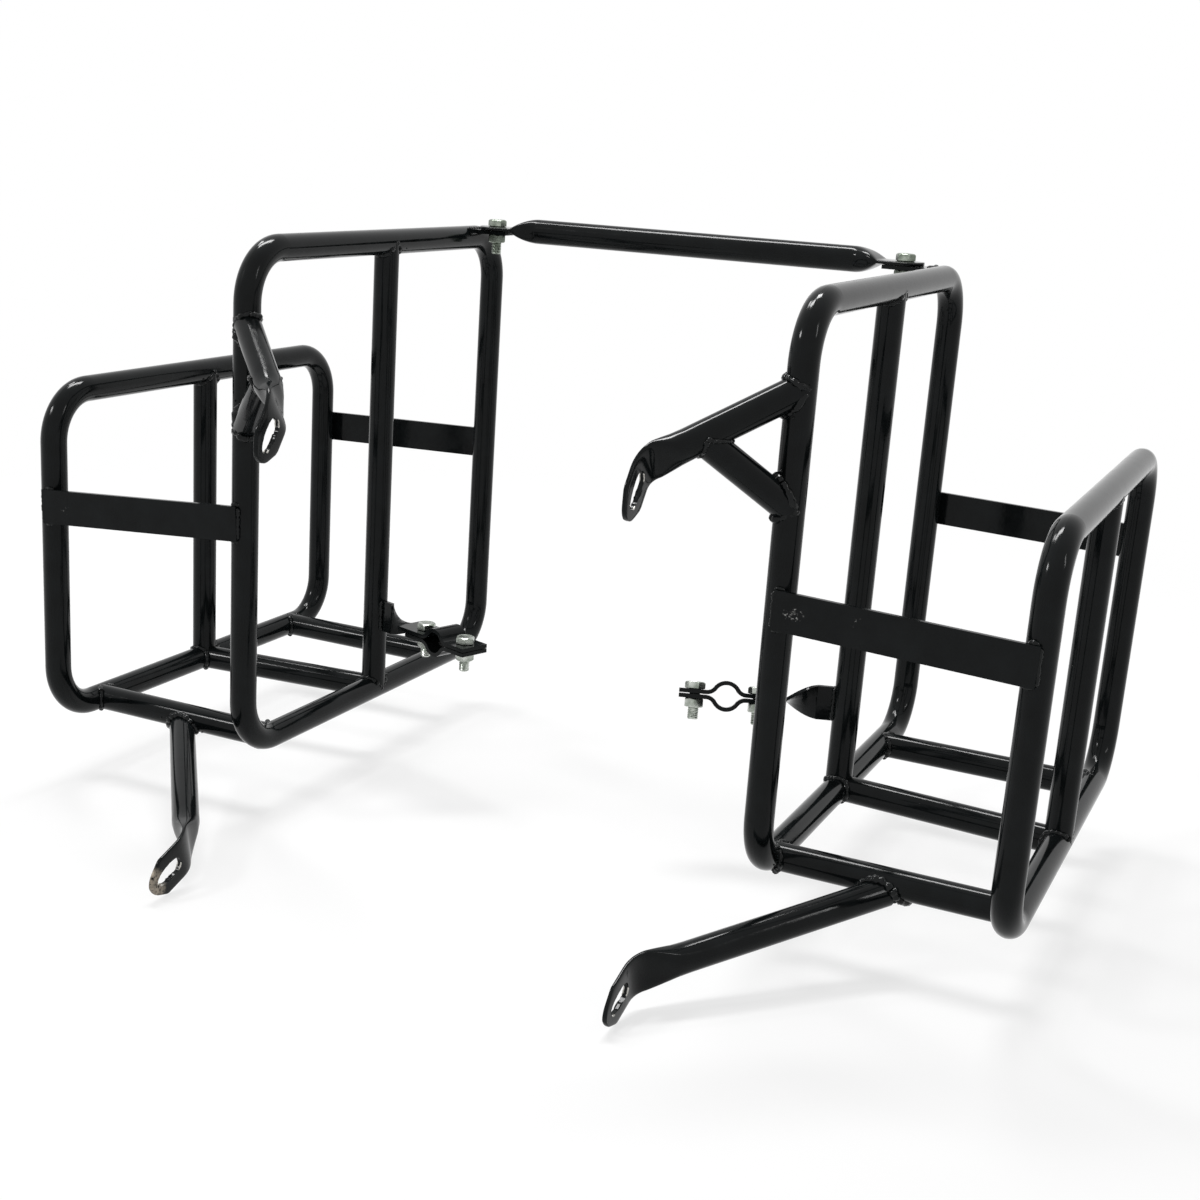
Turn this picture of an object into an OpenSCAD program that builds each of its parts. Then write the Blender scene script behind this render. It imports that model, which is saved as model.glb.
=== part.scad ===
// Pair of pannier frames for a motorcycle, joined by a crossbar behind the seat.
// X runs across the motorcycle, Y towards its rear, Z up. Sizes are in millimetres.
// Each side is drawn once, with its inner loop in the plane X = 0 and the outside
// of the basket towards +X, and is then moved or mirrored to its place.

/* [Tubes] */
// Outside diameter of the basket and lower stay tubes
tube_d = 19; // [16:0.5:22]
// Wall of every tube
tube_wall = 1.5; // [1:0.1:2.5]
// Outside diameter of the upper stay, its brace and the crossbar
small_tube_d = 19; // [14:0.5:19]
// Centre line radius of the bends in the loops
bend_r = 36; // [30:1:50]

/* [Baskets] */
// Distance between the centre lines of the two inner loops
baskets_apart = 394; // [300:1:500]
// Length of the loops between the centre lines of their legs
loop_length = 354; // [320:1:460]
// Height of the inner loop between its centre lines
inner_height = 356; // [320:1:450]
// Height of the outer loop between its centre lines
outer_height = 242; // [210:1:300]
// Distance between the inner and the outer loop
basket_width = 159; // [120:1:220]
// How far the outer loop sits ahead of the inner one
outer_forward = 14; // [0:1:25]
// Distance of the front cross tube from the front leg of the inner loop
front_cross_y = 33; // [28:1:60]
// Distance of the rear cross tube from the rear leg of the inner loop
rear_cross_y = 62; // [55:1:90]

/* [Straps] */
// Height of the flat bars
strap_h = 25; // [20:1:30]
// Thickness of the flat bars
strap_t = 3; // [2:0.5:5]
// How far a strap runs past the centre line of the outer leg
strap_over = 2; // [0:0.5:8]
// Height of the right front strap at its inner and outer end
right_front_strap_z = [175, 172]; // [140:1:190]
// Height of the left front strap at its inner and outer end
left_front_strap_z = [169, 161]; // [140:1:190]
// Height of the rear straps at their inner and outer end
rear_strap_z = [177, 175]; // [140:1:190]

/* [Stays] */
// Thickness of the flattened tube ends
flat_t = 3; // [3:0.1:5]
// Width of the slots in the flattened ends
slot_w = 12; // [8.5:0.1:12.5]
// Length of the slots from end to end
slot_l = 25; // [20:1:28]
// Distance of the upper stay below the top of the inner loop
upper_root_drop = 49; // [38:1:66]
// Way from the foot of the upper stay to the bend at its lower end
upper_reach = [-70, -64, -46]; // [-100:1:-30]
// Angle of the upper mounting plate below horizontal
upper_plate_angle = 54; // [30:1:80]
// Length of the upper mounting plate
upper_plate_l = 35; // [34:1:60]
// Distance of the foot of the brace below the upper stay
brace_drop = 72; // [60:1:84]
// How far along the upper stay the brace meets it
brace_along = 67; // [60:1:75]
// Start of the lower stay on the front cross tube
lower_root = [80, -5]; // [-8:1:110]
// Bend at the lower end of the lower stay
lower_bend = [-34, -110, -34]; // [-130:1:-20]
// Angle of the lower mounting plate below horizontal
lower_plate_angle = 19; // [5:1:45]
// Length of the lower mounting plate
lower_plate_l = 40; // [38:1:60]

/* [Pipe clamps] */
// Diameter of the motorcycle pipe that the clamps hold
clamp_pipe_d = 16; // [14:0.5:22]
// Inside radius of the bends beside the pipe seat
seat_bend_r = 6; // [4:0.5:8]
// Height of the clamp strip on the middle upright
clamp_z = 61; // [50:1:90]
// Angle of the clamp strip towards the front
clamp_angle = 19.4; // [0:0.1:30]
// Distance of the pipe from the middle upright
clamp_reach = 86; // [80:1:120]
// Distance of the clamp bolts beyond the bends of the pipe seat
clamp_bolt_out = 8.5; // [7:0.1:12]
// How far the clamp strips run past their bolts
clamp_edge = 11; // [9:0.5:14]
// Gap between the two halves of a clamp
clamp_gap = 0.6; // [0.4:0.1:2]
// Length of the upright part of the clamp strip beyond the upright
clamp_foot_l = 12; // [4:1:14]
// Length of the quarter turn in the clamp strip
clamp_twist_l = 22; // [16:1:24]
// Roll of the right clamp about its strip, as it was bent by hand
right_clamp_roll = 17; // [0:1:20]
// Roll of the left clamp about its strip
left_clamp_roll = 0; // [0:1:20]

/* [Crossbar and tabs] */
// Distance of the crossbar from the rear leg of the inner loop
crossbar_y = 46; // [40:1:80]
// Distance of the crossbar bolts inside the inner loops
bar_bolt_in = 27; // [24:1:40]
// How far the tabs and the crossbar run past their bolts
bolt_edge = 14; // [11:0.5:18]
// Length of the flattened ends of the crossbar
bar_flat_l = 32; // [30:1:50]
// Length over which a tube goes from round to flat
flatten_l = 22; // [15:1:30]

/* [Fasteners] */
// Thread diameter of the bolts
bolt_d = 8; // [6:1:8]
// Clearance of the bolt holes
hole_clear = 0.5; // [0.3:0.1:1]
// Length of the bolts under the head
bolt_l = 22; // [20:1:40]
// Clearance left at every welded or bolted joint face
joint_gap = 0.1; // [0.05:0.05:0.2]

/* [Hidden] */
$fn = 64;
hull_fn = 32;
// How far a round tube runs into its flattened end
tube_lap = 0.6;
// How far a flattened end runs into its mounting plate
plate_lap = 1;
// Metal left beyond the end of a slot
slot_edge = 6;
// Length of a plate's rounded end, as a share of its width
plate_round = 0.45;
// How much thinner the twisted part of a clamp strip is, so that its end lies inside the flat part
twist_play = 0.2;
// How far the uprights stand behind the middle of the loops
upright_back = 3;
// Straight pieces that a bend in a clamp strip is drawn with
seat_steps = 8;

tube_r = tube_d / 2;
small_r = small_tube_d / 2;
hole_d = bolt_d + hole_clear;
head_w = bolt_d * 1.625;
head_h = bolt_d * 0.66;
nut_h = bolt_d * 0.81;
upright_y = loop_length / 2 + upright_back;
upper_root_z = inner_height - upper_root_drop;
brace_foot_z = upper_root_z - brace_drop;
rear_y = loop_length - rear_cross_y;
bar_y = loop_length - crossbar_y;
tab_z = inner_height + tube_r / 2;
bar_z = tab_z + strap_t + joint_gap + flat_t / 2;
seat_r = clamp_pipe_d / 2;
seat_reach = seat_r + strap_t + seat_bend_r;
// Half width of the hump that makes the pipe seat
seat_b = sqrt(pow(seat_reach, 2) - pow(seat_bend_r + strap_t + clamp_gap / 2, 2));
// Turn of the strip from the flat part to the side of the pipe seat
seat_turn = asin(seat_b / seat_reach);
clamp_bolt_x = seat_b + clamp_bolt_out;
black = [0.05, 0.06, 0.065];
zinc = [0.72, 0.72, 0.66];

// Width of a round tube once it is pressed flat
function flat_width(d) = PI * (d - tube_wall) / 2 + tube_wall;
// Width of a many-sided round that just encloses a tube
function hull_width(d) = (d + joint_gap) / cos(180 / hull_fn);
function unit(v) = v / norm(v);
// Placement with its own Z along dir and its own X as near as can be to side
function place(p, dir, side) =
    let (
        ez = unit(dir),
        ex = unit(side - ez * (side * ez)),
        ey = cross(ez, ex)
    )
    [
        [ex[0], ey[0], ez[0], p[0]],
        [ex[1], ey[1], ez[1], p[1]],
        [ex[2], ey[2], ez[2], p[2]],
        [0, 0, 0, 1]
    ];

upper_root = [0, 0, upper_root_z];
upper_bend = upper_root + upper_reach;
upper_dir = unit(upper_reach);
upper_plate_dir = [0, -cos(upper_plate_angle), -sin(upper_plate_angle)];
lower_start = [lower_root[0], front_cross_y, lower_root[1]];
lower_dir = unit(lower_bend - lower_start);
lower_plate_dir = [0, -cos(lower_plate_angle), -sin(lower_plate_angle)];
strap_turn = atan(outer_forward / basket_width);

// Outline of a mounting plate with a rounded end, along and across its centre line
function plate_points(length, width) =
    let (end = width * plate_round)
    concat(
        [[0, -width / 2]],
        [for (a = [-90:15:90]) [length - end + end * cos(a), width / 2 * sin(a)]],
        [[0, width / 2]]
    );
lower_plate_w = flat_width(tube_d);
lower_side = [0, lower_plate_dir[2], -lower_plate_dir[1]];
lower_corners = [
    for (c = plate_points(lower_plate_l, lower_plate_w))
        lower_bend + lower_plate_dir * c[0] + lower_side * c[1]
];
low_z = min([for (c = lower_corners) c[2]]);
front_y = min([for (c = lower_corners) c[1]]);
back_y = loop_length + (tube_r + joint_gap + strap_t) * cos(strap_turn);
origin = [0, -(front_y + back_y) / 2, -low_z];

// Puts what is drawn for one side at the right or the left of the object
module on_right() {
    translate(origin) translate([baskets_apart / 2, 0, 0]) children();
}
module on_left() {
    translate(origin) mirror([1, 0, 0]) translate([baskets_apart / 2, 0, 0]) children();
}

module rod(p, q, r) {
    multmatrix(place(p, q - p, [0.31, 0.57, 0.76])) cylinder(r = r, h = norm(q - p));
}

module tube(p, q, d) {
    difference() {
        rod(p, q, d / 2);
        rod(p - unit(q - p), q + unit(q - p), d / 2 - tube_wall);
    }
}

// Closed rounded rectangle of round bar, standing in the plane X = 0
module loop_bar(length, height, r) {
    rotate([90, 0, 90]) {
        for (y = [0, height])
            translate([bend_r, y, 0]) rotate([0, 90, 0]) cylinder(r = r, h = length - 2 * bend_r);
        for (x = [0, length])
            translate([x, height - bend_r, 0]) rotate([90, 0, 0]) cylinder(r = r, h = height - 2 * bend_r);
        for (c = [[0, 0, 180], [1, 0, 270], [1, 1, 0], [0, 1, 90]])
            translate([
                bend_r + c[0] * (length - 2 * bend_r),
                bend_r + c[1] * (height - 2 * bend_r),
                0
            ])
                rotate([0, 0, c[2]]) rotate_extrude(angle = 90) translate([bend_r, 0]) circle(r = r);
    }
}

module loop(length, height) {
    color(black) difference() {
        loop_bar(length, height, tube_r);
        loop_bar(length, height, tube_r - tube_wall);
    }
}

module inner_loop() {
    loop(loop_length, inner_height);
}

module outer_loop() {
    translate([basket_width, -outer_forward, 0]) loop(loop_length, outer_height);
}

// Cuts the shape of a horizontal run of loop tube out of what meets it
module run_cut(x, z) {
    translate([x, -outer_forward, z]) rotate([-90, 0, 0])
        cylinder(r = tube_r + joint_gap, h = loop_length + outer_forward);
}

module upright(x, y, height) {
    color(black) difference() {
        tube([x, y, 0], [x, y, height], tube_d);
        run_cut(x, 0);
        run_cut(x, height);
    }
}

module inner_upright() {
    upright(0, upright_y, inner_height);
}

module outer_upright() {
    upright(basket_width, upright_y - outer_forward, outer_height);
}

module cross_tube(y_in, y_out) {
    color(black) difference() {
        tube([0, y_in, 0], [basket_width, y_out, 0], tube_d);
        run_cut(0, 0);
        run_cut(basket_width, 0);
        if (y_in < bend_r + tube_r) {
            loop_bar(loop_length, inner_height, tube_r + joint_gap);
            translate([basket_width, -outer_forward, 0])
                loop_bar(loop_length, outer_height, tube_r + joint_gap);
        }
        translate([0, upright_y, 0]) cylinder(r = tube_r + joint_gap, h = tube_d);
        translate([basket_width, upright_y - outer_forward, 0])
            cylinder(r = tube_r + joint_gap, h = tube_d);
    }
}

module front_cross_tube() {
    cross_tube(front_cross_y, front_cross_y);
}

module middle_cross_tube() {
    cross_tube(upright_y, upright_y - outer_forward);
}

module rear_cross_tube() {
    cross_tube(rear_y, rear_y);
}

// Flat bar across the front or the rear of both loops, on the side given by face
module strap(y, heights, face) {
    inner = [0, y, heights[0]];
    outer = [basket_width, y - outer_forward, heights[1]];
    across = [-sin(strap_turn), -cos(strap_turn), 0] * face;
    color(black) multmatrix(place(inner, outer - inner, across))
        translate([tube_r + joint_gap, -strap_h / 2, 0])
            cube([strap_t, strap_h, norm(outer - inner) + strap_over]);
}

// Slot or hole with its long side along its own X
module slot_cut(length, width, depth) {
    for (s = [-1, 1])
        translate([s * (length - width) / 2, 0, -depth]) cylinder(d = width, h = 2 * depth);
    translate([-(length - width) / 2, -width / 2, -depth]) cube([length - width, width, 2 * depth]);
}

// Flattened and bent tube end: plate with a slot, and the change from round to flat
module flat_end(bend, tube_dir, plate_dir, length, d) {
    width = flat_width(d);
    multmatrix(place(bend, [1, 0, 0], plate_dir)) difference() {
        translate([0, 0, -flat_t / 2]) linear_extrude(height = flat_t)
            polygon(plate_points(length, width));
        translate([length - slot_l / 2 - slot_edge, 0, 0]) slot_cut(slot_l, slot_w, flat_t);
    }
    hull() {
        multmatrix(place(bend - tube_dir * flatten_l, tube_dir, [1, 0, 0]))
            cylinder(d = hull_width(d), h = 1, $fn = hull_fn);
        multmatrix(place(bend, [1, 0, 0], plate_dir))
            translate([-plate_lap, -(width + joint_gap) / 2, -(flat_t + joint_gap) / 2])
                cube([2 * plate_lap, width + joint_gap, flat_t + joint_gap]);
    }
}

module upper_stay() {
    color(black) {
        difference() {
            tube(upper_root, upper_bend - upper_dir * (flatten_l - tube_lap), small_tube_d);
            cylinder(r = tube_r + joint_gap, h = inner_height);
        }
        flat_end(upper_bend, upper_dir, upper_plate_dir, upper_plate_l, small_tube_d);
    }
}

module upper_stay_brace() {
    foot = [0, 0, brace_foot_z];
    top = upper_root + upper_dir * brace_along;
    color(black) difference() {
        tube(foot, top, small_tube_d);
        cylinder(r = tube_r + joint_gap, h = inner_height);
        rod(upper_root, upper_bend, small_r + joint_gap);
    }
}

module lower_stay() {
    color(black) {
        difference() {
            tube(lower_start, lower_bend - lower_dir * (flatten_l - tube_lap), tube_d);
            translate([0, front_cross_y, 0]) rotate([0, 90, 0])
                cylinder(r = tube_r + joint_gap, h = basket_width);
        }
        flat_end(lower_bend, lower_dir, lower_plate_dir, lower_plate_l, tube_d);
    }
}

// Flat bar that is welded against the inner flank of the loop's top run
module top_tab() {
    x0 = -bar_bolt_in - bolt_edge;
    x1 = -tube_r / 2;
    color(black) difference() {
        translate([x0, bar_y - strap_h / 2, tab_z]) cube([x1 - x0, strap_h, strap_t]);
        run_cut(0, inner_height);
        translate([-bar_bolt_in, bar_y, tab_z]) cylinder(d = hole_d, h = 4 * strap_t, center = true);
    }
}

// Places the clamp: own X along the strip, away from the upright, own Z up, then
// rolled about the middle of the strip
module at_clamp(roll) {
    translate([0, upright_y, clamp_z]) rotate([0, 0, 180 + clamp_angle])
        translate([0, 0, strap_t / 2]) rotate([roll, 0, 0]) translate([0, 0, -strap_t / 2])
            children();
}

// Points of a bend round a middle, between two angles from straight up
function bend_points(middle, r, from, to, steps) = [
    for (i = [0:steps])
        let (a = from + (to - from) * i / steps)
            middle + r * [sin(a), cos(a)]
];

// Side view of one clamp half round the middle of the pipe, flat underside on Y = 0
module clamp_profile(start, end) {
    seat = [0, -clamp_gap / 2];
    near = [-seat_b, seat_bend_r + strap_t];
    far = [seat_b, seat_bend_r + strap_t];
    step = seat_turn / seat_steps;
    difference() {
        polygon(concat(
            [[start, 0], [start, strap_t]],
            bend_points(near, seat_bend_r, 180, 180 - seat_turn, seat_steps),
            bend_points(seat, seat_r + strap_t, step - seat_turn, seat_turn - step, 2 * seat_steps - 2),
            bend_points(far, seat_bend_r, 180 + seat_turn, 180, seat_steps),
            [[end, strap_t], [end, 0]],
            bend_points(far, seat_bend_r + strap_t, 180, 180 + seat_turn - step, seat_steps - 1),
            [seat],
            bend_points(near, seat_bend_r + strap_t, 180 - seat_turn + step, 180, seat_steps - 1)
        ));
        translate(seat) circle(r = seat_r);
    }
}

module clamp_half(start) {
    difference() {
        translate([clamp_reach, 0, 0]) rotate([90, 0, 0]) translate([0, 0, -strap_h / 2])
            linear_extrude(height = strap_h)
                clamp_profile(start - clamp_reach, clamp_bolt_x + clamp_edge);
        for (s = [-1, 1])
            translate([clamp_reach + s * clamp_bolt_x, 0, 0])
                cylinder(d = hole_d, h = 4 * strap_t, center = true);
    }
}

module clamp_strip(roll) {
    foot_end = tube_r + clamp_foot_l;
    color(black) difference() {
        union() {
            at_clamp(roll) clamp_half(foot_end + clamp_twist_l - tube_lap);
            at_clamp(0) {
                translate([0, -strap_t / 2, (strap_t - strap_h) / 2])
                    cube([foot_end, strap_t, strap_h]);
                translate([foot_end, 0, strap_t / 2]) rotate([0, 90, 0])
                    linear_extrude(height = clamp_twist_l, twist = 90 - roll, slices = 24, $fn = 8)
                        square([strap_h - twist_play, strap_t - twist_play], center = true);
            }
        }
        translate([0, upright_y, 0]) cylinder(r = tube_r + joint_gap, h = inner_height);
    }
}

module clamp_cap(roll) {
    start = clamp_reach - clamp_bolt_x - clamp_edge;
    color(black) at_clamp(roll) translate([0, 0, -clamp_gap]) mirror([0, 0, 1]) clamp_half(start);
}

// Hexagon bolt with its head on the plane Z = 0 and its shank down
module bolt() {
    color(zinc) {
        rotate([0, 0, 30]) cylinder(d = head_w / cos(30), h = head_h, $fn = 6);
        translate([0, 0, -bolt_l]) cylinder(d = bolt_d, h = bolt_l);
    }
}

// Hexagon nut with its top on the plane Z = 0
module nut() {
    color(zinc) translate([0, 0, -nut_h]) difference() {
        rotate([0, 0, 30]) cylinder(d = head_w / cos(30), h = nut_h, $fn = 6);
        translate([0, 0, -1]) cylinder(d = bolt_d + 2 * joint_gap, h = nut_h + 2);
    }
}

module clamp_bolts(roll) {
    at_clamp(roll) for (s = [-1, 1])
        translate([clamp_reach + s * clamp_bolt_x, 0, strap_t + joint_gap]) bolt();
}

module clamp_nuts(roll) {
    at_clamp(roll) for (s = [-1, 1])
        translate([clamp_reach + s * clamp_bolt_x, 0, -clamp_gap - strap_t - joint_gap]) nut();
}

module bar_bolt() {
    translate([-bar_bolt_in, bar_y, bar_z + flat_t / 2 + joint_gap]) bolt();
}

module bar_nut() {
    translate([-bar_bolt_in, bar_y, tab_z - joint_gap]) nut();
}

// Half of the crossbar, from the middle of the object to its right end
module half_bar() {
    bolt_x = baskets_apart / 2 - bar_bolt_in;
    flat_x = bolt_x + bolt_edge - bar_flat_l;
    width = flat_width(small_tube_d);
    tube([0, 0, 0], [flat_x - flatten_l + tube_lap, 0, 0], small_tube_d);
    difference() {
        union() {
            translate([flat_x, 0, -flat_t / 2])
                linear_extrude(height = flat_t) polygon(plate_points(bar_flat_l, width));
            hull() {
                translate([flat_x - flatten_l, 0, 0]) rotate([0, 90, 0])
                    cylinder(d = hull_width(small_tube_d), h = 1, $fn = hull_fn);
                translate([flat_x, -(width + joint_gap) / 2, -(flat_t - joint_gap) / 2])
                    cube([2 * plate_lap, width + joint_gap, flat_t - joint_gap]);
            }
        }
        translate([bolt_x, 0, 0]) cylinder(d = hole_d, h = 4 * flat_t, center = true);
    }
}

module crossbar() {
    color(black) translate(origin) translate([0, bar_y, bar_z]) {
        half_bar();
        mirror([1, 0, 0]) half_bar();
    }
}

on_right() inner_loop();  // right_inner_loop
on_right() outer_loop();  // right_outer_loop
on_right() inner_upright();  // right_inner_upright
on_right() outer_upright();  // right_outer_upright
on_right() front_cross_tube();  // right_front_cross_tube
on_right() middle_cross_tube();  // right_middle_cross_tube
on_right() rear_cross_tube();  // right_rear_cross_tube
on_right() strap(0, right_front_strap_z, 1);  // right_front_strap
on_right() strap(loop_length, rear_strap_z, -1);  // right_rear_strap
on_right() upper_stay();  // right_upper_stay
on_right() upper_stay_brace();  // right_upper_stay_brace
on_right() lower_stay();  // right_lower_stay
on_right() top_tab();  // right_top_tab
on_right() clamp_strip(right_clamp_roll);  // right_clamp_strip
on_right() clamp_cap(right_clamp_roll);  // right_clamp_cap
on_right() clamp_bolts(right_clamp_roll);  // right_clamp_bolts
on_right() clamp_nuts(right_clamp_roll);  // right_clamp_nuts
on_right() bar_bolt();  // right_bar_bolt
on_right() bar_nut();  // right_bar_nut
on_left() inner_loop();  // left_inner_loop
on_left() outer_loop();  // left_outer_loop
on_left() inner_upright();  // left_inner_upright
on_left() outer_upright();  // left_outer_upright
on_left() front_cross_tube();  // left_front_cross_tube
on_left() middle_cross_tube();  // left_middle_cross_tube
on_left() rear_cross_tube();  // left_rear_cross_tube
on_left() strap(0, left_front_strap_z, 1);  // left_front_strap
on_left() strap(loop_length, rear_strap_z, -1);  // left_rear_strap
on_left() upper_stay();  // left_upper_stay
on_left() upper_stay_brace();  // left_upper_stay_brace
on_left() lower_stay();  // left_lower_stay
on_left() top_tab();  // left_top_tab
on_left() clamp_strip(left_clamp_roll);  // left_clamp_strip
on_left() clamp_cap(left_clamp_roll);  // left_clamp_cap
on_left() clamp_bolts(left_clamp_roll);  // left_clamp_bolts
on_left() clamp_nuts(left_clamp_roll);  // left_clamp_nuts
on_left() bar_bolt();  // left_bar_bolt
on_left() bar_nut();  // left_bar_nut
crossbar();
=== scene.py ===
import math
import random
import bpy
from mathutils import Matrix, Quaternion, Vector


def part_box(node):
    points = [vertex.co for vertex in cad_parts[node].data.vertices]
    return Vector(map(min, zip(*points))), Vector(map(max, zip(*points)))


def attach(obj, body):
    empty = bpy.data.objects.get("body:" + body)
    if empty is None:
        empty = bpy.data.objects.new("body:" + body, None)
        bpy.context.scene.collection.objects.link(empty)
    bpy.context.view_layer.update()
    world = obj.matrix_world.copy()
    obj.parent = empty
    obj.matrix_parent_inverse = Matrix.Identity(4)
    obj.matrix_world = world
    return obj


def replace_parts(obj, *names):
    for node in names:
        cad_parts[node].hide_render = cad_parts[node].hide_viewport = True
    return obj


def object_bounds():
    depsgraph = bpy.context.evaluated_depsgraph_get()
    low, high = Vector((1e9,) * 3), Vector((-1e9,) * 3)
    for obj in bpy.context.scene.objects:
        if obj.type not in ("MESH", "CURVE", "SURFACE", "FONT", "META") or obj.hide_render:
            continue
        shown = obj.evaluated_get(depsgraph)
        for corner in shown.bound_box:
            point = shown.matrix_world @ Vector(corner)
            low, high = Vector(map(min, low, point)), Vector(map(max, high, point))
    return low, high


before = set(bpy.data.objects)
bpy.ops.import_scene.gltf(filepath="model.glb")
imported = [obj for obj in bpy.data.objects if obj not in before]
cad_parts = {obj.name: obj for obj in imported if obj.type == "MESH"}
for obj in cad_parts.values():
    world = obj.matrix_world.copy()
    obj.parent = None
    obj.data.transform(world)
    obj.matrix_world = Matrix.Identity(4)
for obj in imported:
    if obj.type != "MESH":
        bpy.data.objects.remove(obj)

cad_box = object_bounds()
scene = bpy.context.scene
SIDES = {"right": 1, "left": -1}
X = Vector((1, 0, 0))
Y = Vector((0, 1, 0))
Z = Vector((0, 0, 1))

# Sizes read from the frame, in metres
loop_low, loop_high = (Vector(c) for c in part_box("right_inner_loop"))
outer_low, outer_high = (Vector(c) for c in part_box("right_outer_loop"))
tube_r = (loop_high.x - loop_low.x) / 2
corner = loop_low + Vector((tube_r, tube_r, tube_r))
loop_length = loop_high.y - loop_low.y - 2 * tube_r
inner_height = loop_high.z - loop_low.z - 2 * tube_r
outer_height = outer_high.z - outer_low.z - 2 * tube_r
basket_width = outer_low.x + tube_r - corner.x
outer_forward = corner.y - outer_low.y - tube_r


def middle(node, axis):
    """Middle of a node along one axis, measured from the corner of the inner loop."""
    low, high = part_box(node)
    return (low[axis] + high[axis]) / 2 - corner[axis]


front_cross_y = middle("right_front_cross_tube", 1)
rear_cross_y = middle("right_rear_cross_tube", 1)
upright_y = middle("right_inner_upright", 1)
bar_y = middle("crossbar", 1)
bar_low, bar_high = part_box("crossbar")
bar_z = (bar_low.z + bar_high.z) / 2 - corner.z
bar_half = bar_high.x
small_r = (bar_high.z - bar_low.z) / 2

# Sizes of the stays, straps, clamps and bolts, as in the CAD model
wall = 0.0015
flat_t = 0.003
slot_l = 0.025
slot_w = 0.012
slot_edge = 0.006
upper_root = Vector((0, 0, inner_height - 0.049))
upper_reach = Vector((-0.070, -0.064, -0.046))
upper_bend = upper_root + upper_reach
upper_dir = upper_reach.normalized()
upper_angle = math.radians(54)
upper_plate = 0.035
brace_foot = upper_root - Vector((0, 0, 0.072))
brace_top = upper_root + upper_dir * 0.067
lower_root = Vector((0.080, front_cross_y, -0.005))
lower_bend = Vector((-0.034, -0.110, -0.034))
lower_angle = math.radians(19)
lower_plate = 0.040
bar_flat = 0.032
bar_hole = 0.014
strap_h = 0.025
strap_t = 0.003
strap_over = 0.002
# Straps: place along the loop, height at the inner and at the outer loop, side they are on
STRAPS = {
    "right_front": (0, 0.175, 0.172, 1),
    "left_front": (0, 0.169, 0.161, 1),
    "right_rear": (loop_length, 0.177, 0.175, -1),
    "left_rear": (loop_length, 0.177, 0.175, -1),
}
clamp_z = 0.061
clamp_angle = math.radians(19.4)
CLAMP_ROLL = {"right": math.radians(17), "left": 0.0}
clamp_reach = 0.086
clamp_bolt_x = 0.02273
clamp_gap = 0.0006
fit_gap = 0.0001
bolt_r = 0.004
bolt_l = 0.022
head_w = 0.013
head_h = 0.00528
nut_h = 0.00648

# Sizes of the detail that only this model has, in metres
bar_press = 0.021
upper_press = 0.028
lower_press = 0.036
press_start = 0.004
bend_reach = 0.009
tip_share = 0.45
thread_pitch = 0.00125
thread_depth = 0.00048
chamfer_h = 0.0011
BEAD_R = {"cross": 0.0021, "upright": 0.0019, "stay": 0.0023, "foot": 0.0027}

# Number of points in rings and rows, and the angle in degrees above which an edge is sharp
OVAL_STEPS = 40
ROUND_STEPS = 72
BEAD_STEPS = 10
SLOT_STEPS = 56
SHARP = 40
ALL_SMOOTH = 180


def at(side, p):
    """A point measured from the corner of one side's inner loop, in the object's frame."""
    q = corner + Vector(p)
    return Vector((q.x * side, q.y, q.z))


def flat_width(r):
    """Width of a tube of radius r that is pressed flat."""
    return math.pi * (2 * r - wall) / 2 + wall


# Materials

PAINT_TONES = ((0.3, (0.003, 0.0038, 0.004)), (0.7, (0.006, 0.0075, 0.008)))
BROWN_BARE = (1.0, 0.88, 0.72)
GREY_BARE = (1.5, 1.5, 1.45)


def new_material(name):
    material = bpy.data.materials.new(name)
    material.use_nodes = True
    tree = material.node_tree
    return material, tree, tree.nodes["Principled BSDF"]


def noise(tree, scale, detail=3.0, rough=0.5):
    coord = tree.nodes.new("ShaderNodeTexCoord")
    node = tree.nodes.new("ShaderNodeTexNoise")
    node.inputs["Scale"].default_value = scale
    node.inputs["Detail"].default_value = detail
    node.inputs["Roughness"].default_value = rough
    tree.links.new(coord.outputs["Object"], node.inputs["Vector"])
    return node.outputs["Fac"]


def ramp(tree, value, stops):
    node = tree.nodes.new("ShaderNodeValToRGB")
    node.color_ramp.elements[0].position = stops[0][0]
    node.color_ramp.elements[0].color = (*stops[0][1], 1)
    node.color_ramp.elements[1].position = stops[-1][0]
    node.color_ramp.elements[1].color = (*stops[-1][1], 1)
    for place, color in stops[1:-1]:
        node.color_ramp.elements.new(place).color = (*color, 1)
    tree.links.new(value, node.inputs["Fac"])
    return node.outputs["Color"]


def remap(tree, value, low, high, out_low=0.0, out_high=1.0):
    node = tree.nodes.new("ShaderNodeMapRange")
    node.inputs["From Min"].default_value = low
    node.inputs["From Max"].default_value = high
    node.inputs["To Min"].default_value = out_low
    node.inputs["To Max"].default_value = out_high
    tree.links.new(value, node.inputs["Value"])
    return node.outputs["Result"]


def calc(tree, kind, a, b):
    node = tree.nodes.new("ShaderNodeMath")
    node.operation = kind
    for socket, value in zip(node.inputs, (a, b)):
        if isinstance(value, (int, float)):
            socket.default_value = value
        else:
            tree.links.new(value, socket)
    return node.outputs[0]


def mix(tree, share, a, b):
    """Color a where share is 0 and color b where it is 1."""
    node = tree.nodes.new("ShaderNodeMix")
    node.data_type = "RGBA"
    tree.links.new(share, node.inputs[0])
    tree.links.new(a, node.inputs[6])
    tree.links.new(b, node.inputs[7])
    return node.outputs[2]


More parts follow.
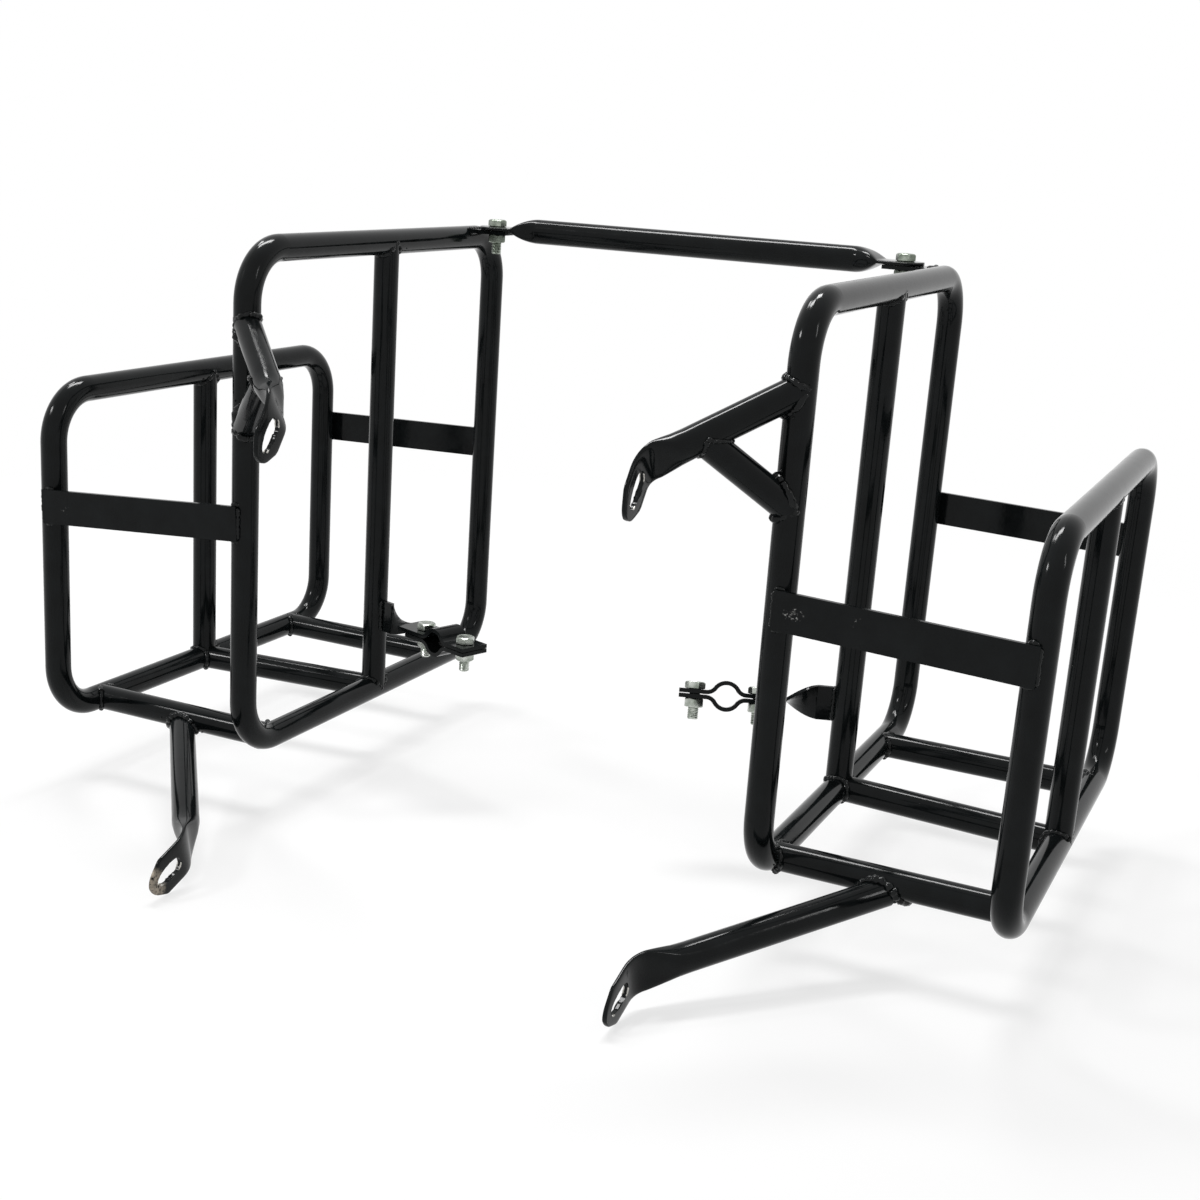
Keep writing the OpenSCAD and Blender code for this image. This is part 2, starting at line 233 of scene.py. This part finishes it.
def near(tree, point, radius):
    """1 at a point of the object, falling to 0 at a radius from it."""
    coord = tree.nodes.new("ShaderNodeTexCoord")
    node = tree.nodes.new("ShaderNodeVectorMath")
    node.operation = "DISTANCE"
    node.inputs[1].default_value = point
    tree.links.new(coord.outputs["Object"], node.inputs[0])
    return remap(tree, node.outputs["Value"], 0.0, radius, 1.0, 0.0)


def relief(tree, shader, height, strength, distance):
    bump = tree.nodes.new("ShaderNodeBump")
    bump.inputs["Strength"].default_value = strength
    bump.inputs["Distance"].default_value = distance
    tree.links.new(height, bump.inputs["Height"])
    tree.links.new(bump.outputs["Normal"], shader.inputs["Normal"])


def paint(name, bump=0.03, worn=(), rough_range=(0.07, 0.16), bare_tone=BROWN_BARE, gloss=0.12):
    """Gloss black paint over steel. worn lists rubbed places: point, radius, amount."""
    material, tree, shader = new_material(name)
    shade = ramp(tree, noise(tree, 60, 4), PAINT_TONES)
    rough = remap(tree, noise(tree, 90, 5), 0.3, 0.7, *rough_range)
    peel = calc(tree, "ADD", noise(tree, 260, 4), calc(tree, "MULTIPLY", noise(tree, 45, 2), 1.5))
    relief(tree, shader, peel, bump, 0.001)
    shader.inputs["Specular IOR Level"].default_value = gloss
    if not worn:
        tree.links.new(shade, shader.inputs["Base Color"])
        tree.links.new(rough, shader.inputs["Roughness"])
        return material
    metal = None
    for point, radius, amount in worn:
        broken = remap(tree, noise(tree, 420, 6, 0.7), 0.60 - amount, 0.72 - amount)
        patch = remap(tree, calc(tree, "MULTIPLY", near(tree, point, radius), broken), 0.05, 0.35)
        metal = patch if metal is None else calc(tree, "MAXIMUM", metal, patch)
    dark, light = (tuple(c * level for c in bare_tone) for level in (0.13, 0.36))
    bare = ramp(tree, noise(tree, 300, 3), [(0.3, dark), (0.7, light)])
    tree.links.new(mix(tree, metal, shade, bare), shader.inputs["Base Color"])
    dull = calc(tree, "ADD", rough, calc(tree, "MULTIPLY", metal, 0.35))
    tree.links.new(dull, shader.inputs["Roughness"])
    tree.links.new(calc(tree, "MULTIPLY", metal, 0.7), shader.inputs["Metallic"])
    return material


def metal(name, low, mid, high, rough):
    """Bare or plated metal, mottled between three tones, with a range of roughness."""
    material, tree, shader = new_material(name)
    shade = ramp(tree, noise(tree, 140, 4), [(0.3, low), (0.52, mid), (0.75, high)])
    tree.links.new(shade, shader.inputs["Base Color"])
    tree.links.new(remap(tree, noise(tree, 220, 5), 0.3, 0.7, *rough), shader.inputs["Roughness"])
    shader.inputs["Metallic"].default_value = 1.0
    relief(tree, shader, noise(tree, 500, 4), 0.12, 0.0006)
    return material


def plate_point(bend, angle, along, side):
    """A point on a stay's flat end, at a distance along it from its bend."""
    return at(side, bend + Vector((0, -math.cos(angle), -math.sin(angle))) * along)


black = paint("black_paint")
weld_paint = paint("black_paint_welds", bump=0.4, rough_range=(0.05, 0.12), gloss=0.18)
strap_paint = paint("black_paint_straps", bare_tone=GREY_BARE, worn=(
    (at(1, (0.009, -0.013, 0.175)), 0.0045, 0.06),
    (at(1, (0.015, -0.014, 0.175)), 0.0055, 0.06),
    (at(1, (0.052, -0.017, 0.178)), 0.006, 0.0),
    (at(-1, (0.140, -0.026, 0.160)), 0.006, 0.0),
))
stay_paint = paint("black_paint_stays", worn=(
    (plate_point(lower_bend, lower_angle, lower_plate, 1), 0.007, 0.02),
    (plate_point(lower_bend, lower_angle, lower_plate, -1), 0.016, 0.22),
    (plate_point(upper_bend, upper_angle, upper_plate, 1), 0.006, 0.0),
    (plate_point(upper_bend, upper_angle, upper_plate, -1), 0.006, 0.0),
))
zinc = metal(
    "zinc_plate", (0.20, 0.23, 0.19), (0.42, 0.45, 0.41), (0.68, 0.70, 0.66), (0.18, 0.34)
)
# The same zinc plating in a darker copy for the crossbar bolts: painted shade
shaded_zinc = metal(
    "shaded_zinc", (0.10, 0.12, 0.095), (0.21, 0.24, 0.20), (0.42, 0.46, 0.40), (0.22, 0.4)
)
bare_edge = metal(
    "bare_cut_edge", (0.20, 0.19, 0.17), (0.46, 0.45, 0.42), (0.80, 0.79, 0.76), (0.25, 0.5)
)


# Building pieces

def piece_from(name, verts, faces, material, side=1, sharp=SHARP):
    """A mesh in the frame's coordinates; side is -1 where its points were mirrored."""
    if side < 0:
        faces = [tuple(reversed(f)) for f in faces]
    low, high = cad_box
    verts = [Vector([min(max(c, a), b) for c, a, b in zip(v, low, high)]) for v in verts]
    mesh = bpy.data.meshes.new(name)
    mesh.from_pydata(verts, [], faces)
    mesh.polygons.foreach_set("use_smooth", [True] * len(mesh.polygons))
    mesh.set_sharp_from_angle(angle=math.radians(sharp))
    mesh.update()
    piece = bpy.data.objects.new(name, mesh)
    scene.collection.objects.link(piece)
    mesh.materials.append(material)
    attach(piece, "root")
    return piece


def skin(rings, closed_ends=True):
    """Faces over rings of equal length, given as lists of points."""
    count = len(rings[0])
    verts = [v for ring in rings for v in ring]
    faces = []
    for i in range(len(rings) - 1):
        for j in range(count):
            k = (j + 1) % count
            faces.append((i * count + j, i * count + k, (i + 1) * count + k, (i + 1) * count + j))
    if closed_ends:
        faces.append(tuple(reversed(range(count))))
        faces.append(tuple((len(rings) - 1) * count + j for j in range(count)))
    return verts, faces


def oval(centre, ew, et, a, b, power, count=OVAL_STEPS):
    """Ring round centre, from round (power 2) to a flat bar with rounded edges (more)."""
    ring = []
    for j in range(count):
        t = 2 * math.pi * (j + 0.5) / count
        c, s = math.cos(t), math.sin(t)
        x = a * math.copysign(abs(c) ** (2 / power), c)
        y = b * math.copysign(abs(s) ** (2 / power), s)
        ring.append(centre + ew * x + et * y)
    return ring


def smooth(t):
    """Share t held between 0 and 1, with a soft start and end."""
    t = max(0.0, min(1.0, t))
    return t * t * (3 - 2 * t)


def section(centre, tangent, thick, r, f, g=None):
    """Cross section of a tube, wider by the share f and thinner along thick by the share g."""
    g = f ** 0.85 if g is None else g
    et = (thick - tangent * thick.dot(tangent)).normalized()
    ew = et.cross(tangent)
    a = r + (flat_width(r) / 2 - r) * f
    b = r + (flat_t / 2 - r) * g
    return centre, ew, et, a, b, 2 + 2.6 * f


def cut_slot(piece, centre, along, across, through, seed):
    """Cuts a slot with a ragged, hand-cut edge and returns its outline."""
    rand = random.Random(seed)
    outline = []
    for k in range(SLOT_STEPS):
        t = 2 * math.pi * k / SLOT_STEPS
        c, s = math.cos(t), math.sin(t)
        ragged = rand.uniform(0.84, 1.0) if 28 < k < 52 else rand.uniform(0.96, 1.02)
        x = math.copysign(abs(c) ** 0.85, c) * slot_l / 2
        y = math.copysign(abs(s) ** 0.85, s) * slot_w / 2 * (1 - 0.18 * c) * ragged
        outline.append(centre + along * x + across * y)
    verts, faces = skin([[p + through * d for p in outline] for d in (flat_t * 2, -flat_t * 2)])
    mesh = bpy.data.meshes.new("cutter")
    mesh.from_pydata(verts, [], faces)
    cutter = bpy.data.objects.new("cutter", mesh)
    scene.collection.objects.link(cutter)
    tool = piece.modifiers.new("slot", "BOOLEAN")
    tool.operation = "DIFFERENCE"
    tool.solver = "EXACT"
    tool.object = cutter
    bpy.context.view_layer.update()
    depsgraph = bpy.context.evaluated_depsgraph_get()
    cut = bpy.data.meshes.new_from_object(piece.evaluated_get(depsgraph))
    piece.modifiers.clear()
    piece.data = cut
    cut.polygons.foreach_set("use_smooth", [True] * len(cut.polygons))
    cut.set_sharp_from_angle(angle=math.radians(SHARP))
    bpy.data.objects.remove(cutter)
    return outline


# A drop of spatter: heights and radii of its rings, as shares of its radius
DROP = ((-0.9, 0.4), (-0.3, 0.95), (0.3, 0.95), (0.9, 0.4))


def bead(name, points, radius, closed=True, seed=0, pitch=0.0045, material=None, spatter=()):
    """A lumpy weld bead along a row of points, with drops of spatter at other points."""
    rand = random.Random(seed)
    count = len(points)
    lengths = [0.0]
    for a, b in zip(points, points[1:]):
        lengths.append(lengths[-1] + (b - a).length)
    total = lengths[-1] + ((points[0] - points[-1]).length if closed else 0)
    lumps = max(3, round(total / pitch))
    size = [rand.uniform(0.72, 1.3) for _ in range(lumps)]
    shift = [rand.uniform(-0.35, 0.35) * radius for _ in range(lumps)]
    rings = []
    for i, p in enumerate(points):
        q = points[(i + 1) % count] if closed or i < count - 1 else p
        o = points[i - 1] if closed or i > 0 else p
        along = (q - o).normalized()
        ex = along.orthogonal().normalized()
        ey = along.cross(ex)
        u = lengths[i] / total * lumps
        k = int(u) % lumps
        f = u - int(u)
        r = size[k] * (1 - f) + size[(k + 1) % lumps] * f
        r *= radius * (0.74 + 0.34 * math.sin(math.pi * f))
        if not closed:
            end = min(lengths[i], total - lengths[i]) / (radius * 1.2)
            r *= math.sqrt(max(0.02, min(1.0, end)))
        c = p + ex * (shift[k] * (1 - f) + shift[(k + 1) % lumps] * f) * 0.5
        ring = []
        for j in range(BEAD_STEPS):
            a = 2 * math.pi * j / BEAD_STEPS
            ring.append(c + (ex * math.cos(a) + ey * math.sin(a)) * r * rand.uniform(0.93, 1.07))
        rings.append(ring)
    verts, faces = skin(rings, not closed)
    if closed:
        last = (count - 1) * BEAD_STEPS
        for j in range(BEAD_STEPS):
            k = (j + 1) % BEAD_STEPS
            faces.append((last + j, last + k, k, j))
    for p in spatter:
        r = rand.uniform(0.0004, 0.0010)
        first = len(verts)
        drop = [oval(p + Z * r * h, X, Y, r * w, r * w, 2, 8) for h, w in DROP]
        more, quads = skin(drop)
        verts += more
        faces += [tuple(first + i for i in f) for f in quads]
    finish = material or weld_paint
    return piece_from(name, verts, faces, finish, sharp=ALL_SMOOTH)


def line(a, b, count):
    """Points from a to b in count equal steps."""
    return [a + (b - a) * (k / count) for k in range(count + 1)]


def saddle(start, direction, radius, main_point, main_dir, main_radius, sink=0.0):
    """Points where a tube meets a main tube, sunk by up to sink where their sides run level."""
    d = direction.normalized()
    m = main_dir.normalized()
    u = d.cross(m).normalized()
    v = d.cross(u)
    points = []
    for i in range(ROUND_STEPS):
        a = 2 * math.pi * i / ROUND_STEPS
        out = u * math.cos(a) + v * math.sin(a)
        p = start + out * radius - main_point
        pp = p - m * p.dot(m)
        dd = d - m * d.dot(m)
        qa = dd.length_squared
        qb = 2 * pp.dot(dd)
        qc = pp.length_squared - main_radius ** 2
        t = (-qb + math.sqrt(max(0.0, qb * qb - 4 * qa * qc))) / (2 * qa)
        off = p + d * t
        side_out = (off - m * off.dot(m)).normalized()
        level = max(0.0, out.dot(side_out) - 0.6) / 0.4
        points.append(main_point + off - out * sink * level)
    return points


def joint_bead(name, side, start, end, radius, main_point, main_dir, size, seed):
    """Bead and spatter round the foot of a tube that runs from start to end."""
    a = at(side, start)
    b = at(side, end)
    m = at(side, main_point)
    md = Vector((main_dir[0] * side, main_dir[1], main_dir[2]))
    ring = saddle(a, b - a, radius + size * 0.25, m, md, tube_r + size * 0.1, size * 1.15)
    rand = random.Random(seed + 7)
    drops = []
    for _ in range(6):
        p = ring[rand.randrange(len(ring))] - m
        far = md * (rand.choice((-1, 1)) * rand.uniform(0.002, 0.008))
        round_it = Quaternion(md, rand.uniform(-0.5, 0.5))
        drops.append(m + round_it @ (p + far))
    return bead(name, ring, size, True, seed, spatter=drops)


# Stays and crossbar with pressed ends

def stay(name, side, root, bend, angle, length, r, press, seed):
    """Tube from root to bend, pressed flat over its last part, with a slotted flat end."""
    reach = bend - root
    total = reach.length
    d1 = reach.normalized()
    d2 = Vector((0, -math.cos(angle), -math.sin(angle)))
    turn = bend_reach
    sections = []
    s = press_start
    while s < total - turn:
        f = smooth((s - total + press) / (press - press_start))
        sections.append(section(root + d1 * s, d1, X, r, f))
        s += 0.0015 if s > total - press else 0.008
    for k in range(9):
        u = k / 8
        p = (bend - d1 * turn) * (1 - u) ** 2 + bend * 2 * u * (1 - u) + (bend + d2 * turn) * u * u
        t = (d1 * (1 - u) + d2 * u).normalized()
        f = smooth((u * turn - turn + press) / (press - press_start))
        sections.append(section(p, t, X, r, f))
    end = flat_width(r) * tip_share
    s = turn + 0.002
    while s < length - end:
        sections.append(section(bend + d2 * s, d2, X, r, 1.0))
        s += 0.003
    for k in range(1, 17):
        q = math.sin(k / 17 * math.pi / 2)
        c, ew, et, a, b, power = section(bend + d2 * (length - end + end * q), d2, X, r, 1.0)
        sections.append((c, ew, et, a * (1 - 0.6 * q) * math.sqrt(1 - q ** 9), b, power))
    rings = [[at(side, p) for p in oval(*one)] for one in sections]
    verts, faces = skin(rings)
    piece = piece_from(name, verts, faces, stay_paint, side)
    centre = plate_point(bend, angle, length - slot_l / 2 - slot_edge, side)
    across = Vector((0, d2.z, -d2.y))
    outline = cut_slot(piece, centre, d2, across, X, seed)
    for k, (first, last) in enumerate(((29, 37), (39, 45), (47, 52))):
        for face in (-1, 1):
            edge = [p + X * face * flat_t * 0.45 for p in outline[first:last]]
            label = "in" if face < 0 else "out"
            finish = stay_paint if k == 1 else bare_edge
            bead(f"{name}_burr_{k}_{label}", edge, 0.0005, False, seed + k, 0.002, finish)
    return piece


def crossbar_piece():
    """Round tube with two flat ends. A station is its x, two pressed shares and a width."""
    r = small_r
    press = bar_press
    flat = bar_half - bar_flat
    end = flat_width(r) * tip_share
    half = []
    x = 0.0
    while x < flat - press:
        half.append((x, 0.0, 0.0, 1.0))
        x += 0.02
    for k in range(24):
        x = flat - press + press * k / 23
        half.append((x, smooth(k / 23), (k / 23) ** 2.2, 1.0))
    for k in range(1, 6):
        half.append((flat + (bar_flat - end) * k / 5, 1.0, 1.0, 1.0))
    for k in range(1, 14):
        q = math.sin(k / 14 * math.pi / 2)
        half.append((bar_half - end + end * q, 1.0, 1.0, math.sqrt(1 - q * q)))
    both = [(-x, f, g, w) for x, f, g, w in reversed(half[1:])] + half
    rings = []
    for x, f, g, w in both:
        c = Vector((x, corner.y + bar_y, corner.z + bar_z))
        c, ew, et, a, b, power = section(c, X, Z, r, f, g)
        rings.append(oval(c, ew, et, a * w, b, power))
    verts, faces = skin(rings)
    piece = piece_from("crossbar_tube", verts, faces, black)
    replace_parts(piece, "crossbar")


for side_name, side in SIDES.items():
    seed = 300 if side > 0 else 400
    name = f"{side_name}_upper_stay"
    way = (upper_root, upper_bend, upper_angle, upper_plate)
    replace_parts(stay(f"{name}_tube", side, *way, small_r, upper_press, seed), name)
    name = f"{side_name}_lower_stay"
    way = (lower_root, lower_bend, lower_angle, lower_plate)
    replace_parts(stay(f"{name}_tube", side, *way, tube_r, lower_press, seed + 20), name)
crossbar_piece()


# Hexagon bolts and nuts

corner_r = head_w / 2 / math.cos(math.radians(30))


def hexagon(t, width):
    """Radius of a hexagon at the angle t, for its width across flats."""
    part = (math.degrees(t) + 30) % 60 - 30
    return width / 2 / math.cos(math.radians(part))


def hex_ring(height, limit, width=head_w):
    """Hexagon at a height, with its corners rounded off at the radius limit."""
    ring = []
    for j in range(ROUND_STEPS):
        t = 2 * math.pi * j / ROUND_STEPS
        r = min(hexagon(t, width), limit)
        ring.append(Vector((r * math.cos(t), r * math.sin(t), height)))
    return ring


def round_ring(height, r):
    return hex_ring(height, r, 4 * r)


def bolt_mesh():
    """Bolt with its head on Z = 0 and a threaded shank below."""
    rings = []
    steps = 96
    for k in range(steps + 1):
        z = -bolt_l + bolt_l * k / steps
        ring = []
        for j in range(ROUND_STEPS):
            turn = ((z / thread_pitch) + j / ROUND_STEPS) % 1
            r = bolt_r - thread_depth * abs(2 * turn - 1)
            if k < 4:
                r = min(r, bolt_r - 0.0010 + 0.0003 * k)
            t = 2 * math.pi * j / ROUND_STEPS
            ring.append(Vector((r * math.cos(t), r * math.sin(t), z)))
        rings.append(ring)
    rings.append(hex_ring(0, head_w * 0.48))
    rings.append(hex_ring(0.0004, corner_r))
    for k in range(7):
        f = k / 6
        limit = corner_r + (head_w * 0.46 - corner_r) * f ** 1.5
        rings.append(hex_ring(head_h - 0.0012 * (1 - f), limit))
    rings.append(round_ring(head_h - 0.0002, head_w * 0.40))
    return skin(rings)


def nut_mesh():
    """Nut with its top on Z = 0."""
    rings = [round_ring(0, bolt_r)]
    inner_r = head_w * 0.47
    for k in range(5):
        f = k / 4
        rings.append(hex_ring(-chamfer_h * f, inner_r + (corner_r - inner_r) * f))
    for k in range(5):
        f = 1 - k / 4
        rings.append(hex_ring(-nut_h + chamfer_h * f, inner_r + (corner_r - inner_r) * f))
    rings.append(round_ring(-nut_h, bolt_r))
    verts, faces = skin(rings, False)
    return verts, [tuple(reversed(f)) for f in faces]


def fasteners(name, side, places, mesh, node):
    """One piece of bolts or nuts at places: point, X axis, Y axis, Z axis, turn."""
    verts, faces = [], []
    points, quads = mesh
    for p, ex, ey, ez, turn in places:
        first = len(verts)
        for v in points:
            c, s = math.cos(turn), math.sin(turn)
            q = p + ex * (v.x * c - v.y * s) + ey * (v.x * s + v.y * c) + ez * v.z
            verts.append(at(side, q))
        faces += [tuple(first + i for i in f) for f in quads]
    # The crossbar bolts get the darker zinc copy, which is painted shade
    material = shaded_zinc if "_bar_" in name else zinc
    piece = piece_from(name, verts, faces, material, side, 30)
    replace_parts(piece, node)


def clamp_frame(side_name):
    """Origin and axes of one clamp, as in the CAD model."""
    ex = Vector((-math.cos(clamp_angle), -math.sin(clamp_angle), 0))
    flat = Vector((math.sin(clamp_angle), -math.cos(clamp_angle), 0))
    roll = CLAMP_ROLL[side_name]
    ey = flat * math.cos(roll) + Z * math.sin(roll)
    ez = Z * math.cos(roll) - flat * math.sin(roll)
    origin = Vector((0, upright_y, clamp_z + strap_t / 2)) - ez * (strap_t / 2)
    return origin, ex, ey, ez


bolt_shape = bolt_mesh()
nut_shape = nut_mesh()
bar_bolt = Vector((bar_half - bar_hole - corner.x, bar_y, bar_z + flat_t / 2 + fit_gap))
for side_name, side in SIDES.items():
    turn = 0.5 if side > 0 else 0.2
    name = f"{side_name}_bar_bolt"
    fasteners(f"{name}_piece", side, [(bar_bolt, X, Y, Z, turn)], bolt_shape, name)
    below = bar_bolt - Z * (flat_t + strap_t + 3 * fit_gap)
    name = f"{side_name}_bar_nut"
    fasteners(f"{name}_piece", side, [(below, X, Y, Z, turn + 0.3)], nut_shape, name)
    origin, ex, ey, ez = clamp_frame(side_name)
    bolts, nuts = [], []
    for k, s in enumerate((-1, 1)):
        foot = origin + ex * (clamp_reach + s * clamp_bolt_x)
        bolts.append((foot + ez * (strap_t + fit_gap), ex, ey, ez, 0.4 + k))
        nuts.append((foot - ez * (clamp_gap + strap_t + fit_gap), ex, ey, ez, 0.1 + k))
    name = f"{side_name}_clamp"
    fasteners(f"{name}_bolt_pieces", side, bolts, bolt_shape, f"{name}_bolts")
    fasteners(f"{name}_nut_pieces", side, nuts, nut_shape, f"{name}_nuts")


# Weld beads
for side_name, side in SIDES.items():
    seed = 100 if side > 0 else 200
    crosses = (
        ("front", front_cross_y, front_cross_y),
        ("middle", upright_y, upright_y - outer_forward),
        ("rear", rear_cross_y, rear_cross_y),
    )
    for k, (label, y_in, y_out) in enumerate(crosses):
        inner = (0, y_in, 0)
        outer = (basket_width, y_out, 0)
        name = f"{side_name}_weld_{label}"
        size = BEAD_R["cross"]
        joint_bead(f"{name}_inner", side, inner, outer, tube_r, inner, Y, size, seed + k)
        joint_bead(f"{name}_outer", side, outer, inner, tube_r, outer, Y, size, seed + 10 + k)
    uprights = (
        ("inner", 0, upright_y, inner_height),
        ("outer", basket_width, upright_y - outer_forward, outer_height),
    )
    for k, (label, x, y, height) in enumerate(uprights):
        foot = (x, y, 0)
        top = (x, y, height)
        name = f"{side_name}_weld_{label}_upright"
        size = BEAD_R["upright"]
        joint_bead(f"{name}_foot", side, foot, top, tube_r, foot, Y, size, seed + 20 + k)
        joint_bead(f"{name}_top", side, top, foot, tube_r, top, Y, size, seed + 30 + k)
    name = f"{side_name}_weld"
    leg = (0, 0, 0)
    way = (upper_root, upper_bend, small_r)
    joint_bead(f"{name}_upper_stay", side, *way, leg, Z, BEAD_R["stay"], seed + 40)
    way = (brace_foot, brace_top, small_r)
    joint_bead(f"{name}_brace_foot", side, *way, leg, Z, BEAD_R["foot"], seed + 41)
    top = at(side, brace_top)
    low = at(side, brace_foot)
    along = Vector((upper_dir.x * side, upper_dir.y, upper_dir.z))
    ring = saddle(top, low - top, small_r, top, along, small_r)
    bead(f"{name}_brace_top", ring, 0.0018, True, seed + 42)
    way = (lower_root, lower_bend, tube_r)
    front = (0, front_cross_y, 0)
    joint_bead(f"{name}_lower_stay", side, *way, front, X, BEAD_R["foot"], seed + 43)
    # Crossbar tab against the loop, and clamp strip against the upright
    for k, up in enumerate((0.0002, 0.0028)):
        z = inner_height + tube_r / 2 + up
        x = -math.sqrt(tube_r ** 2 - (z - inner_height) ** 2) - 0.0006
        a = at(side, (x, bar_y - strap_h / 2, z))
        b = at(side, (x, bar_y + strap_h / 2, z))
        bead(f"{side_name}_weld_tab_{k}", line(a, b, 24), 0.0016, False, seed + 50 + k)
    origin, ex, ey, ez = clamp_frame(side_name)
    flat = Vector((math.sin(clamp_angle), -math.cos(clamp_angle), 0))
    for k, s in enumerate((-1, 1)):
        p = Vector((0, upright_y, clamp_z)) + ex * (tube_r + 0.0004) + flat * s * 0.0022
        a = at(side, p + Z * (strap_t - strap_h) / 2)
        b = at(side, p + Z * (strap_t + strap_h) / 2)
        bead(f"{side_name}_weld_clamp_{k}", line(a, b, 24), 0.0017, False, seed + 55 + k)

# Straps against the loops: a bead along each end, and a short one above and below it
turn = math.atan2(outer_forward, basket_width)
for k, (label, (y, z_in, z_out, face)) in enumerate(STRAPS.items()):
    side = 1 if label.startswith("right") else -1
    along = Vector((math.cos(turn), -math.sin(turn), 0))
    out = Vector((-math.sin(turn), -math.cos(turn), 0)) * face
    ends = ((0, y, z_in, 0.0), (basket_width, y - outer_forward, z_out, strap_over))
    for n, (x, y, z, end) in enumerate(ends):
        leg = Vector((x, y, z)) + out * (tube_r + 0.0006)
        edge = leg + along * end + out * 0.0004
        a = at(side, edge - Z * strap_h * 0.46)
        b = at(side, edge + Z * strap_h * 0.46)
        seed = 500 + 10 * k + n
        bead(f"{label}_strap_weld_end_{n}", line(a, b, 22), 0.0017, False, seed, 0.0035)
        for m, s in enumerate((-1, 1)):
            mid = leg + Z * s * (strap_h / 2 + 0.0004) - out * 0.0008
            back = -0.006 if n else -0.001
            a = at(side, mid + along * back)
            b = at(side, mid + along * (back + 0.007))
            seed = 540 + 10 * k + 2 * n + m
            bead(f"{label}_strap_weld_{n}_{m}", line(a, b, 10), 0.0019, False, seed)

# Paint on the steel that stays from the CAD, zinc on the fasteners
for name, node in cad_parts.items():
    node.data.materials.clear()
    if name.endswith(("bolts", "nuts", "bolt", "nut")):
        node.data.materials.append(zinc)
    elif name.endswith("strap"):
        node.data.materials.append(strap_paint)
    else:
        node.data.materials.append(black)


# Floor, background, lights and camera

def seen(tree):
    """1 for rays from the camera, reflections and transparent surfaces, else 0."""
    path = tree.nodes.new("ShaderNodeLightPath")
    glossy = calc(tree, "MAXIMUM", path.outputs["Is Camera Ray"], path.outputs["Is Glossy Ray"])
    return calc(tree, "MAXIMUM", glossy, path.outputs["Is Transmission Ray"])


def floor_material():
    """Pale floor that keeps a faint shadow and fades into the white background."""
    material, tree, shader = new_material("floor")
    shader.inputs["Base Color"].default_value = (0.86, 0.86, 0.86, 1)
    shader.inputs["Roughness"].default_value = 0.9
    shader.inputs["Specular IOR Level"].default_value = 0.1
    white = tree.nodes.new("ShaderNodeEmission")
    lift = tree.nodes.new("ShaderNodeMixShader")
    tree.links.new(calc(tree, "MULTIPLY", seen(tree), 0.72), lift.inputs[0])
    tree.links.new(shader.outputs[0], lift.inputs[1])
    tree.links.new(white.outputs[0], lift.inputs[2])
    clear = tree.nodes.new("ShaderNodeBsdfTransparent")
    fade = tree.nodes.new("ShaderNodeMixShader")
    tree.links.new(remap(tree, near(tree, (0, 0, 0), 1.5), 0.05, 0.55), fade.inputs[0])
    tree.links.new(clear.outputs[0], fade.inputs[1])
    tree.links.new(lift.outputs[0], fade.inputs[2])
    tree.links.new(fade.outputs[0], tree.nodes["Material Output"].inputs["Surface"])
    return material


bpy.ops.mesh.primitive_plane_add(size=6, location=(0, 0, 0))
floor = bpy.context.object
floor.name = "floor"
floor.data.materials.append(floor_material())

world = bpy.data.worlds.new("studio")
scene.world = world
world.use_nodes = True
background = world.node_tree.nodes["Background"]
strength = remap(world.node_tree, seen(world.node_tree), 0.0, 1.0, 0.3, 1.0)
world.node_tree.links.new(strength, background.inputs["Strength"])
background.inputs["Color"].default_value = (1, 1, 1, 1)


def softbox(name, place, width, height, watts):
    """Area lamp that points at the object."""
    light = bpy.data.lights.new(name, "AREA")
    light.shape = "RECTANGLE"
    light.size = width
    light.size_y = height
    light.energy = watts
    lamp = bpy.data.objects.new(name, light)
    lamp.location = place
    lamp.rotation_euler = (LIT_POINT - Vector(place)).to_track_quat("-Z", "Y").to_euler()
    scene.collection.objects.link(lamp)


LIT_POINT = Vector((0, 0, 0.2))
softbox("ceiling_strip", (-0.55, 0.7, 2.6), 1.45, 0.40, 60)
softbox("back_window", (-1.4, 0.7, 2.4), 0.45, 0.32, 10)
softbox("left_window", (-1.7, -1.5, 2.0), 0.46, 0.36, 22)
softbox("right_fill", (2.4, -0.4, 1.8), 0.2, 0.7, 6)

# Camera, as fitted to the photograph: sizes in pixels, place from the right loop's corner
PHOTO_SIZE = 1200
FOCAL_PX = 1739.7
CENTRE_X_PX = 540
CENTRE_Y_PX = 630
look_dir = Vector((-0.4136, 0.8681, -0.2744))
roll = math.radians(3.38)
camera_data = bpy.data.cameras.new("camera")
camera_data.sensor_width = 36
camera_data.lens = FOCAL_PX / PHOTO_SIZE * camera_data.sensor_width
camera_data.shift_x = 0.5 - CENTRE_X_PX / PHOTO_SIZE
camera_data.shift_y = CENTRE_Y_PX / PHOTO_SIZE - 0.5
camera = bpy.data.objects.new("camera", camera_data)
camera.location = corner + Vector((0.3089, -0.9846, 0.4424))
camera.rotation_euler = (look_dir.to_track_quat("-Z", "Y") @ Quaternion(Z, roll)).to_euler()
scene.collection.objects.link(camera)
scene.camera = camera
scene.view_settings.view_transform = "Standard"
